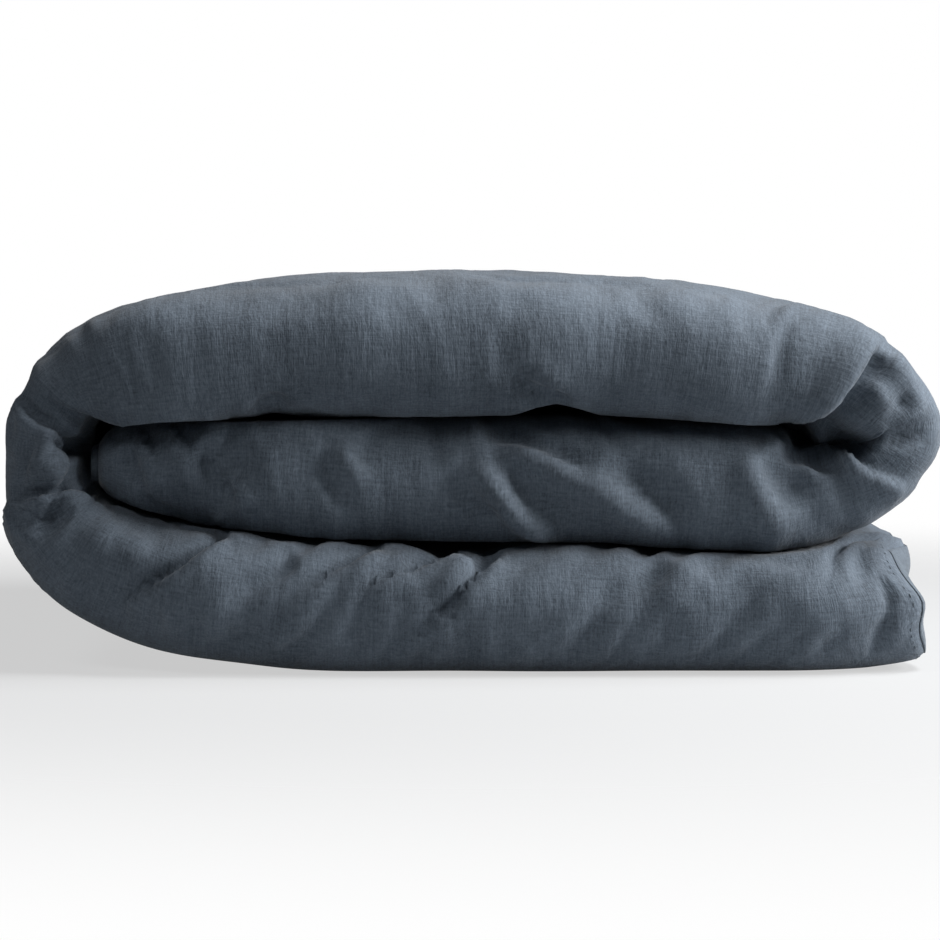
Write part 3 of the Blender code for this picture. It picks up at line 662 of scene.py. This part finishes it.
def shell_mesh(u, v, top, bottom, wrap=False):
    """Points, quads and flat (u, v) of the closed shell between two grids of points, closed into a
    ring along its rows where wrap is true. The sign of its volume tells which way its faces point."""
    count, columns = top.shape[:2]
    upper = count * columns
    i, j = np.meshgrid(np.arange(count if wrap else count - 1), np.arange(columns - 1), indexing="ij")
    i, j = i.ravel(), j.ravel()
    after = (i + 1) % count
    a, b, c, d = i * columns + j, after * columns + j, after * columns + j + 1, i * columns + j + 1
    quads = [np.stack([a, d, c, b], 1), np.stack([a, b, c, d], 1) + upper]
    sides = [(j == 0, b, a), (j == columns - 2, d, c)]
    if not wrap:
        sides += [(i == 0, a, d), (i == count - 2, c, b)]
    for chosen, start, end in sides:
        start, end = start[chosen], end[chosen]
        quads.append(np.stack([start, start + upper, end + upper, end], 1))
    quads = np.concatenate(quads)
    points = np.concatenate([bottom.reshape(-1, 3), top.reshape(-1, 3)])
    corner = points[quads] - points.mean(0)
    areas = np.cross(corner[:, 1], corner[:, 2]) + np.cross(corner[:, 2], corner[:, 3])
    volume = (corner[:, 0] * areas).sum()
    if volume < 0:
        quads = quads[:, ::-1]
    flat = np.stack([u.ravel(), v.ravel()], 1)
    return points, quads, np.concatenate([flat, flat])


def soft_piece(name, material, slot, nodes, *shells):
    """An object of one or more closed shells, whose UV map is the cloth's own u and v in metres."""
    points, flat = (np.concatenate([shell[i] for shell in shells]) for i in (0, 2))
    starts = np.cumsum([0] + [len(shell[0]) for shell in shells[:-1]])
    quads = np.concatenate([shell[1] + start for shell, start in zip(shells, starts)])
    mesh = bpy.data.meshes.new(name)
    mesh.from_pydata(points, [], quads)
    uv = flat[quads.reshape(-1)].astype(np.float32).reshape(-1)
    mesh.uv_layers.new(name="cloth").data.foreach_set("uv", uv)
    mesh.polygons.foreach_set("use_smooth", np.ones(len(quads), bool))
    mesh.materials.append(material)
    made = bpy.data.objects.new(name, mesh)
    scene.collection.objects.link(made)
    if nodes:
        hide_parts(*nodes)
    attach(made, "duvet")
    return made


def within(values, low, high):
    """low, high and the values between them."""
    return np.concatenate([[low], values[(values > low + 1e-4) & (values < high - 1e-4)], [high]])


def sheet_shell(u, v, share, offset, cloth, outer=face_cloth):
    """A cloth of even thickness on the rows u by v, whose outer side is at that share and offset."""
    u, v = np.meshgrid(u, v, indexing="ij")
    inward = -np.sign(share) * cloth
    return shell_mesh(u, v, layer(u, v, share, offset, outer), layer(u, v, share, offset + inward, outer))


def colour_between(tree, share, dark, light):
    """The colour that runs from dark to light as share goes from 0 to 1."""
    ends = {0: share, 6: (*dark, 1), 7: (*light, 1)}
    return node(tree, "ShaderNodeMix", {"data_type": "RGBA"}, ends, 2)


def raised_by(tree, shader, height, strength, distance):
    """The surface raised by a height, as a bump on the shader's normal."""
    look = {"Strength": strength, "Distance": distance, "Height": height}
    bump = node(tree, "ShaderNodeBump", {}, look)
    tree.links.new(bump.link, shader.inputs["Normal"])


def woven(name, dark, light, thread, contrast=1.0, bump=0.5, sheen=0.12):
    """A washed plain weave: uneven threads both ways, slubs along them, and a soft fade in patches.

    The tone and the height are sums of noises stretched along one thread or the other."""
    material, tree, shader = new_material(name, CLOTH_ROUGHNESS, sheen=sheen)
    place = node(tree, "ShaderNodeUVMap", {"uv_map": "cloth"})

    def noise(along_u, along_v, detail=2):
        scale = (1 / along_u, 1 / along_v, 1)
        stretched = node(tree, "ShaderNodeMapping", {}, {"Vector": place, "Scale": scale})
        look = {"Vector": stretched, "Scale": 1.0, "Detail": detail, "Roughness": 0.6}
        return node(tree, "ShaderNodeTexNoise", {"noise_dimensions": "2D"}, look)

    weft = noise(thread, thread * 16)
    warp = noise(thread * 16, thread)
    slub = noise(thread * 2.2, thread * 40, 1)
    grain = noise(thread * 1.4, thread * 1.5)
    crumple = noise(0.011, 0.016, 4)
    patch = noise(0.08, 0.06, 3)
    mottle = noise(0.0028, 0.0034, 3)
    uneven = weft * 0.30 + warp * 0.32 + slub * 0.14 + grain * 0.40 + mottle * 0.24 + patch * 0.36 - 0.88
    tone = node(tree, "ShaderNodeClamp", {}, {"Value": uneven * (1.9 * contrast) + 0.5})
    shade = colour_between(tree, tone, dark, light)
    tree.links.new(shade.link, shader.inputs["Base Color"])
    height = weft * 0.35 + warp * 0.40 + grain * 0.35 + slub * 0.15 + mottle * 0.3 + crumple * 3.0
    raised_by(tree, shader, height, bump, 0.0012)
    rough = weft * 0.2 + (CLOTH_ROUGHNESS - 0.1)
    tree.links.new(rough.link, shader.inputs["Roughness"])
    return material


cover_linen = woven("washed_linen", LINEN_DARK, LINEN_LIGHT, 0.0009, bump=0.42)
COVER_U = within(U_ROWS, 0.0, LENGTH)
COVER_V = within(V_ROWS, -EDGE, EDGE)
cover_face = soft_piece(
    "cover_face", cover_linen, "cover_linen", ["cover_face_panel"],
    sheet_shell(COVER_U, COVER_V, 1, 0, LINEN_CLOTH),
)
# The back cloth lies inside the half-fold, where every other row is enough
SPARSE_U = np.append(COVER_U[:-1:2], LENGTH)
cover_back = soft_piece(
    "cover_back", cover_linen, "cover_linen", ["cover_back_panel"],
    sheet_shell(SPARSE_U, COVER_V, -1, 0, LINEN_CLOTH),
)

# ------------------------
# Seams: both cloths turned in and sewn together in a narrow bead down each side and across the
# head, of the same linen, a little darker where it is doubled. Rows of short stitches hold them.
SEAM_BEAD = 0.006
SEAM_HALF = 0.0016
SEAM_ROW = 0.0032  # spacing of a bead's rows, of which every other one is a little fuller
seam_linen = woven("seam_linen", (0.030, 0.042, 0.057), (0.100, 0.128, 0.156), 0.0009)


def bead(name, node_name, along, along_is_u, edge, outward_sign):
    """A rounded bead past an edge: its half thickness is a quarter ellipse across its width."""
    across = np.linspace(0, 1, 6)
    a, t = np.meshgrid(along, across, indexing="ij")
    beyond = edge + outward_sign * (t * SEAM_BEAD)
    u, v = (a, beyond) if along_is_u else (beyond, a)
    ripple = 1 + 0.12 * np.sin(a / SEAM_ROW * math.pi)
    want = SEAM_HALF * np.sqrt(np.clip(1.02 - t**2, 0.03, 1)) * ripple
    top, bottom = layer(u, v, 0, want), layer(u, v, 0, -want)
    return soft_piece(name, seam_linen, "seam_linen", [node_name], shell_mesh(u, v, top, bottom))


seam_rows = np.arange(0.001, LENGTH - 0.001, SEAM_ROW)
seams = [
    bead("side_seam_lower_bead", "side_seam_lower", seam_rows, True, EDGE, 1),
    bead("side_seam_upper_bead", "side_seam_upper", seam_rows, True, -EDGE, -1),
    bead("head_seam_bead", "head_seam", np.arange(-EDGE, EDGE + 0.001, SEAM_ROW), False, LENGTH, 1),
]

THREAD_RADIUS = 0.0003
STITCH_ABOVE = 0.0002  # how far the thread's middle lies above the cloth
STITCH_PITCH = 0.0017
STITCH_CORNER = 0.015  # how far from the corners the rows begin
STITCH_INSIDE = 0.0015  # how far inside a side seam its row runs
FOOT_ROW = 0.006


def stitch_row(u, v):
    """A row of stitches, each a small six-sided grain of thread from one point to the next: rings of
    cos and sin about the line between them, full in the middle and narrow at both ends."""
    points = layer(u, v, 1, STITCH_ABOVE)
    start, end = points[0:-1:2], points[1::2]
    run = end - start
    size = np.linalg.norm(run, axis=1, keepdims=True)
    run = run / size
    side = np.cross(run, np.array([0.31, 0.43, 0.85]))
    side /= np.linalg.norm(side, axis=1, keepdims=True)
    up = np.cross(run, side)
    places = np.array([0.0, 0.25, 0.75, 1.0])
    girths = np.array([0.25, 1.0, 1.0, 0.25]) * THREAD_RADIUS
    turn = np.arange(6) * math.pi / 3
    spoke = side[:, None, None] * np.cos(turn)[None, None, :, None]
    spoke = spoke + up[:, None, None] * np.sin(turn)[None, None, :, None]
    middle = start[:, None, None] + (run * size)[:, None, None] * places[None, :, None, None]
    ring = middle + girths[None, :, None, None] * spoke
    base = (np.arange(len(start)) * 24)[:, None, None]
    level, part = np.meshgrid(np.arange(3), np.arange(6), indexing="ij")
    a = level * 6 + part
    b = level * 6 + (part + 1) % 6
    wall = (np.stack([a, b, b + 6, a + 6], -1).reshape(1, -1, 4) + base).reshape(-1, 4)
    caps = np.array([[3, 2, 1, 0], [5, 4, 3, 0], [18, 19, 20, 21], [18, 21, 22, 23]])
    caps = (caps[None] + base).reshape(-1, 4)
    flat = np.zeros((len(start) * 24, 2))
    flat[:, 0] = np.repeat(np.arange(len(start)) * 0.003, 24)
    return ring.reshape(-1, 3), np.concatenate([wall, caps]), flat


def clouded(name, roughness, dark, light, scale, detail, coarseness=0.5, metallic=0.0, sheen=0.0):
    """A material whose colour runs from dark to light in small clouds over the piece's own place."""
    material, tree, shader = new_material(name, roughness, metallic, sheen)
    place = node(tree, "ShaderNodeTexCoord", output=3)
    look = {"Vector": place, "Scale": scale, "Detail": detail, "Roughness": coarseness}
    clouds = node(tree, "ShaderNodeTexNoise", {}, look)
    shade = colour_between(tree, clouds, dark, light)
    tree.links.new(shade.link, shader.inputs["Base Color"])
    return material, tree, shader, place, clouds


cover_thread = clouded(
    "cover_thread", 0.6, (0.07, 0.091, 0.112), (0.10, 0.13, 0.16), 3000.0, 1.0, sheen=0.3
)[0]
row_u = np.arange(STITCH_CORNER, LENGTH - STITCH_CORNER, STITCH_PITCH)
row_v = np.arange(-EDGE + STITCH_CORNER, EDGE - STITCH_CORNER, STITCH_PITCH)
stitches = soft_piece(
    "cover_stitches", cover_thread, "seam_linen", [],
    stitch_row(row_u, np.full_like(row_u, EDGE - STITCH_INSIDE)),
    stitch_row(row_u, np.full_like(row_u, -EDGE + STITCH_INSIDE)),
    stitch_row(np.full_like(row_v, FOOT_ROW), row_v),
)

# ------------------------
# Foot edge: turned hems close the blunt end either side of the zip, and between them run the zip's
# two woven tapes. All stand across the end from the face cloth to the back cloth.
ZIP_FAR = -0.58
ZIP_NEAR = -0.10
HEM_CLOTH = 0.0013
HEM_BULGE = 0.003
TAPE_CLOTH = 0.0012
TAPE_BULGE = 0.0004
TAPE_START = 0.0030  # from the zip's middle to a tape's woven edge
BAND_STANDS = 0.0003  # how far a band's inner side stands off the end of the cloths


def end_wall(v_rows, low, high, bulge, cloth):
    """A band across the foot end, from low to high in metres off the ply's middle (None to the cloth
    itself), standing out by cloth, and by bulge times a half sine more along its middle line."""
    t = np.linspace(0, 1, 8)
    v, t = np.meshgrid(v_rows, t, indexing="ij")
    u = np.zeros_like(v)
    half = ply_half(u, v, face_cloth)
    low = -half if low is None else low
    high = half if high is None else high
    offset = low + (high - low) * t
    swell = bulge * np.sin(math.pi * t)
    outer = layer(-cloth - swell, v, 0, offset)
    inner = layer(-BAND_STANDS - swell, v, 0, offset)
    return shell_mesh(offset, v, outer, inner)


hem_linen = woven("hem_linen", (0.034, 0.046, 0.062), (0.120, 0.150, 0.182), 0.0010)
zip_tape = woven("zip_tape", (0.030, 0.040, 0.052), (0.062, 0.080, 0.098), 0.0006, sheen=0.1)
hem, tape = (HEM_BULGE, HEM_CLOTH), (TAPE_BULGE, TAPE_CLOTH)
long_rows, short_rows = within(V_ROWS, ZIP_NEAR, EDGE), np.linspace(-EDGE, ZIP_FAR, 14)
zip_rows = np.linspace(ZIP_FAR, ZIP_NEAR, 60)
bands = [
    soft_piece(name + "_band", material, slot, [name], end_wall(*shape))
    for name, material, slot, *shape in (
        ("foot_hem_long", hem_linen, "seam_linen", long_rows, None, None, *hem),
        ("foot_hem_short", hem_linen, "seam_linen", short_rows, None, None, *hem),
        ("zip_tape_face", zip_tape, "zip_tape", zip_rows, TAPE_START, None, *tape),
        ("zip_tape_back", zip_tape, "zip_tape", zip_rows, None, -TAPE_START, *tape),
    )
]

# ------------------------
# Zip teeth: two spirals of nylon wire whose turns lie between each other, with a pressed metal stop
# at each end. The metal slider and its pull run along them.
COIL_PITCH = 0.0016
COIL_WIDE = 0.0016
COIL_SINK = 0.0004  # how much less deep the spiral is than its room
COIL_MESH = 0.0006  # how far each spiral is moved towards the other, so that they mesh
COIL_SIDES = 5
COIL_STEPS = 10
WIRE_RADIUS = 0.00042


def spiral(node_name, side, phase):
    """A wire wound round a line along the zip: a flattened ring of turns, each turn one pitch on. The
    wire itself is a ring about that curve, from its outward direction and the one across it."""
    low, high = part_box(node_name)
    turns = int((high.y - low.y) / COIL_PITCH)
    t = np.arange(turns * COIL_STEPS + 1) / COIL_STEPS
    deep = (high.x - low.x) / 2 - COIL_SINK
    middle = np.array([(low.x + high.x) / 2, low.y, (low.z + high.z) / 2 - side * COIL_MESH])
    turn = 2 * math.pi * t + phase
    forward = t * COIL_PITCH + WIRE_RADIUS
    line = middle + np.stack([deep * np.cos(turn), forward, side * COIL_WIDE * np.sin(turn)], 1)
    run = np.gradient(line, axis=0)
    run /= np.linalg.norm(run, axis=1, keepdims=True)
    out = line - middle - np.stack([0 * t, forward, 0 * t], 1)
    out /= np.linalg.norm(out, axis=1, keepdims=True)
    across = np.cross(run, out)
    angle = (np.arange(COIL_SIDES) * 2 * math.pi / COIL_SIDES)[:, None]
    ring = line[:, None] + WIRE_RADIUS * (out[:, None] * np.cos(angle) + across[:, None] * np.sin(angle))
    i, j = np.meshgrid(np.arange(len(t) - 1), np.arange(COIL_SIDES), indexing="ij")
    here, there = i * COIL_SIDES, (i + 1) * COIL_SIDES
    k = (j + 1) % COIL_SIDES
    quads = np.stack([here + j, here + k, there + k, there + j], -1).reshape(-1, 4)[:, ::-1].tolist()
    first = list(range(COIL_SIDES))
    last = list(range(len(t) * COIL_SIDES - 1, (len(t) - 1) * COIL_SIDES - 1, -1))
    mesh = bpy.data.meshes.new(node_name + "_spiral")
    mesh.from_pydata(ring.reshape(-1, 3), [], [*quads, first, last])
    mesh.shade_smooth()
    mesh.materials.append(coil_nylon)
    made = bpy.data.objects.new(node_name + "_spiral", mesh)
    scene.collection.objects.link(made)
    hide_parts(node_name)
    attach(made, "duvet")


coil_nylon = clouded("zip_nylon", 0.35, (0.03, 0.04, 0.052), (0.08, 0.10, 0.12), 900.0, 2.0)[0]
spiral("zip_coil_face", 1, 0.0)
spiral("zip_coil_back", -1, math.pi)

METAL_ROUNDING = 0.0003
metal, tree, shader, place, wear = clouded(
    "worn_nickel", 0.32, (0.13, 0.135, 0.15), (0.36, 0.37, 0.39), 420.0, 4.0, metallic=1.0
)
scratch = node(tree, "ShaderNodeTexNoise", {}, {"Vector": place, "Scale": 1900.0, "Detail": 2.0})
tree.links.new((wear * 0.3 + 0.18).link, shader.inputs["Roughness"])
raised_by(tree, shader, scratch, 0.2, 0.0002)
for name in ("zip_stop_far", "zip_stop_near", "zip_slider", "zip_pull"):
    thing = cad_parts[name]
    thing.data.materials.clear()
    thing.data.materials.append(metal)
    rounded = thing.modifiers.new("rounded", "BEVEL")
    rounded.width = METAL_ROUNDING
    rounded.segments = 3
    rounded.limit_method = "ANGLE"

# ------------------------
# Care label: a blank slip of white satin. Its upper edge is sewn into the side seam near the foot,
# and it hangs from there, a little curled. The curl grows with the square of the way down.
LABEL_CURL = 0.004
LABEL_HALF = 0.00025  # half the slip's thickness
satin, tree, shader = new_material("label_satin", 0.45, sheen=0.2)
place = node(tree, "ShaderNodeUVMap", {"uv_map": "cloth"})
stretched = node(tree, "ShaderNodeMapping", {}, {"Vector": place, "Scale": (600, 5000, 1)})
weave = {"Vector": stretched, "Scale": 1.0, "Detail": 2.0}
floats = node(tree, "ShaderNodeTexNoise", {"noise_dimensions": "2D"}, weave)
shade = colour_between(tree, floats, (0.62, 0.62, 0.60), (0.80, 0.80, 0.79))
tree.links.new(shade.link, shader.inputs["Base Color"])
raised_by(tree, shader, floats, 0.3, 0.0003)
low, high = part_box("care_label")
x, z = np.meshgrid(np.linspace(low.x, high.x, 25), np.linspace(low.z, high.z, 17), indexing="ij")
down = (high.z - z) / (high.z - low.z)
y = (low.y + high.y) / 2 + LABEL_CURL * down**2 * np.cos((x - low.x) * 90) - 0.001 * down
grid = np.stack([x, y, z], -1)
thick = np.array([0, LABEL_HALF, 0])
slip = shell_mesh(x, z, grid + thick, grid - thick)
label = soft_piece("care_label_slip", satin, "label_satin", ["care_label"], slip)

# ------------------------
# Insert: a case of two white cotton cloths with a cloth border all round, held apart inside by a
# lattice of narrow cloth walls that makes 6 by 4 chambers.
COTTON = 0.0005  # thickness of the case's cloth
MARGIN = 0.020  # how far the case's edges lie inside the cover's
UNDER_COVER = 0.0022  # how far the case lies under the cover's outer side
BORDER_ROOM = 0.0015  # from the case's edge to the outermost chambers
WALL_CLOTH = 0.001  # thickness of the border and the walls
WALL_ROOM = 0.0006  # from the middle of a wall that runs along to the end of one that meets it
ROW_COUNT = 6
COLUMN_COUNT = 4
cotton = woven(
    "insert_cotton", (0.62, 0.62, 0.60), (0.80, 0.80, 0.78), 0.0005, contrast=0.5, bump=0.3, sheen=0.1
)
insert_u = within(U_ROWS, MARGIN, LENGTH - MARGIN)
insert_v = within(V_ROWS, -EDGE + MARGIN, EDGE - MARGIN)
for name, side, u_rows in (("face", 1, insert_u), ("back", -1, np.append(insert_u[:-1:2], insert_u[-1]))):
    cloth = sheet_shell(u_rows, insert_v, side, -side * UNDER_COVER, COTTON, case_face)
    case = soft_piece("insert_case_" + name, cotton, "insert_cotton", ["insert_shell_" + name], cloth)
INSIDE_CASE = UNDER_COVER + COTTON + 0.0004


def wall(u, v, u_way, v_way, wrap=False):
    """A cloth wall from one case cloth to the other along the flat line (u, v), thick across it."""
    t = np.linspace(-1, 1, 5)
    sides = []
    for half in (-WALL_CLOTH / 2, WALL_CLOTH / 2):
        uu, tt = np.meshgrid(u + half * u_way, t, indexing="ij")
        vv = np.meshgrid(v + half * v_way, t, indexing="ij")[0]
        reach = np.maximum(ply_half(uu, vv, case_face) - INSIDE_CASE, 0.0002)
        sides.append(layer(uu, vv, 0, tt * reach, case_face))
    return shell_mesh(uu, tt * 0.02, sides[0], sides[1], wrap)


us, vs = insert_u, insert_v
loop_u = np.concatenate([us[:-1], np.full(len(vs) - 1, us[-1]), us[:0:-1], np.full(len(vs) - 1, us[0])])
loop_v = np.concatenate([np.full(len(us) - 1, vs[0]), vs[:-1], np.full(len(us) - 1, vs[-1]), vs[:0:-1]])
at_end = (loop_u < us[0] + 1e-9) | (loop_u > us[-1] - 1e-9)
way_u = np.where(at_end, np.sign(loop_u - LENGTH / 2), 0.0)
way_v = np.where(np.abs(loop_v) > vs[-1] - 1e-9, np.sign(loop_v), 0.0)
border_wall = wall(loop_u, loop_v, way_u, way_v, wrap=True)
soft_piece("insert_border_band", cotton, "insert_cotton", ["insert_border"], border_wall)

row_edges = np.linspace(MARGIN + BORDER_ROOM, LENGTH - MARGIN - BORDER_ROOM, ROW_COUNT + 1)
column_edges = np.linspace(
    -EDGE + MARGIN + BORDER_ROOM, EDGE - MARGIN - BORDER_ROOM, COLUMN_COUNT + 1
)
lattice = []
for v in column_edges[1:-1]:
    u_line = within(U_ROWS, row_edges[0], row_edges[-1])
    lattice.append(wall(u_line, np.full_like(u_line, v), 0.0, 1.0))
for u in row_edges[1:-1]:
    for start, end in zip(column_edges[:-1], column_edges[1:]):
        v_line = within(V_ROWS, start + WALL_ROOM, end - WALL_ROOM)
        lattice.append(wall(np.full_like(v_line, u), v_line, 1.0, 0.0))
soft_piece("baffle_lattice", cotton, "insert_cotton", ["baffle_grid"], *lattice)

# ------------------------
# Fill: one loose cushion of down in each chamber. It is blown in, not fixed, and is fullest in its
# middle: its half thickness falls as a quarter ellipse to its edges.
CUSHION_GAP = 0.002  # from a cushion's side to the middle of its wall
CASE_GAP = 0.0006  # from a cushion to the case's cloth
CUSHION_ROUNDING = (0.04, 0.55)
down, tree, shader, place, tufts = clouded(
    "down_fill", 0.95, (0.60, 0.58, 0.53), (0.82, 0.81, 0.78), 160.0, 5.0, coarseness=0.7, sheen=0.5
)
raised_by(tree, shader, tufts, 0.8, 0.002)
for row in range(ROW_COUNT):
    for column in range(COLUMN_COUNT):
        u0, u1 = row_edges[row] + CUSHION_GAP, row_edges[row + 1] - CUSHION_GAP
        v0, v1 = column_edges[column] + CUSHION_GAP, column_edges[column + 1] - CUSHION_GAP
        u, v = np.meshgrid(within(U_ROWS, u0, u1), within(V_ROWS, v0, v1), indexing="ij")
        inset = np.minimum(np.minimum(u - u0, u1 - u), np.minimum(v - v0, v1 - v))
        half = np.maximum(ply_half(u, v, case_face) - INSIDE_CASE - CASE_GAP, 0.0003)
        half = half * fullness(inset, *CUSHION_ROUNDING)
        name = f"fill_r{row + 1}c{column + 1}"
        top, bottom = layer(u, v, 0, half, case_face), layer(u, v, 0, -half, case_face)
        cushion = soft_piece(name + "_down", down, "down_fill", [name], shell_mesh(u, v, top, bottom))
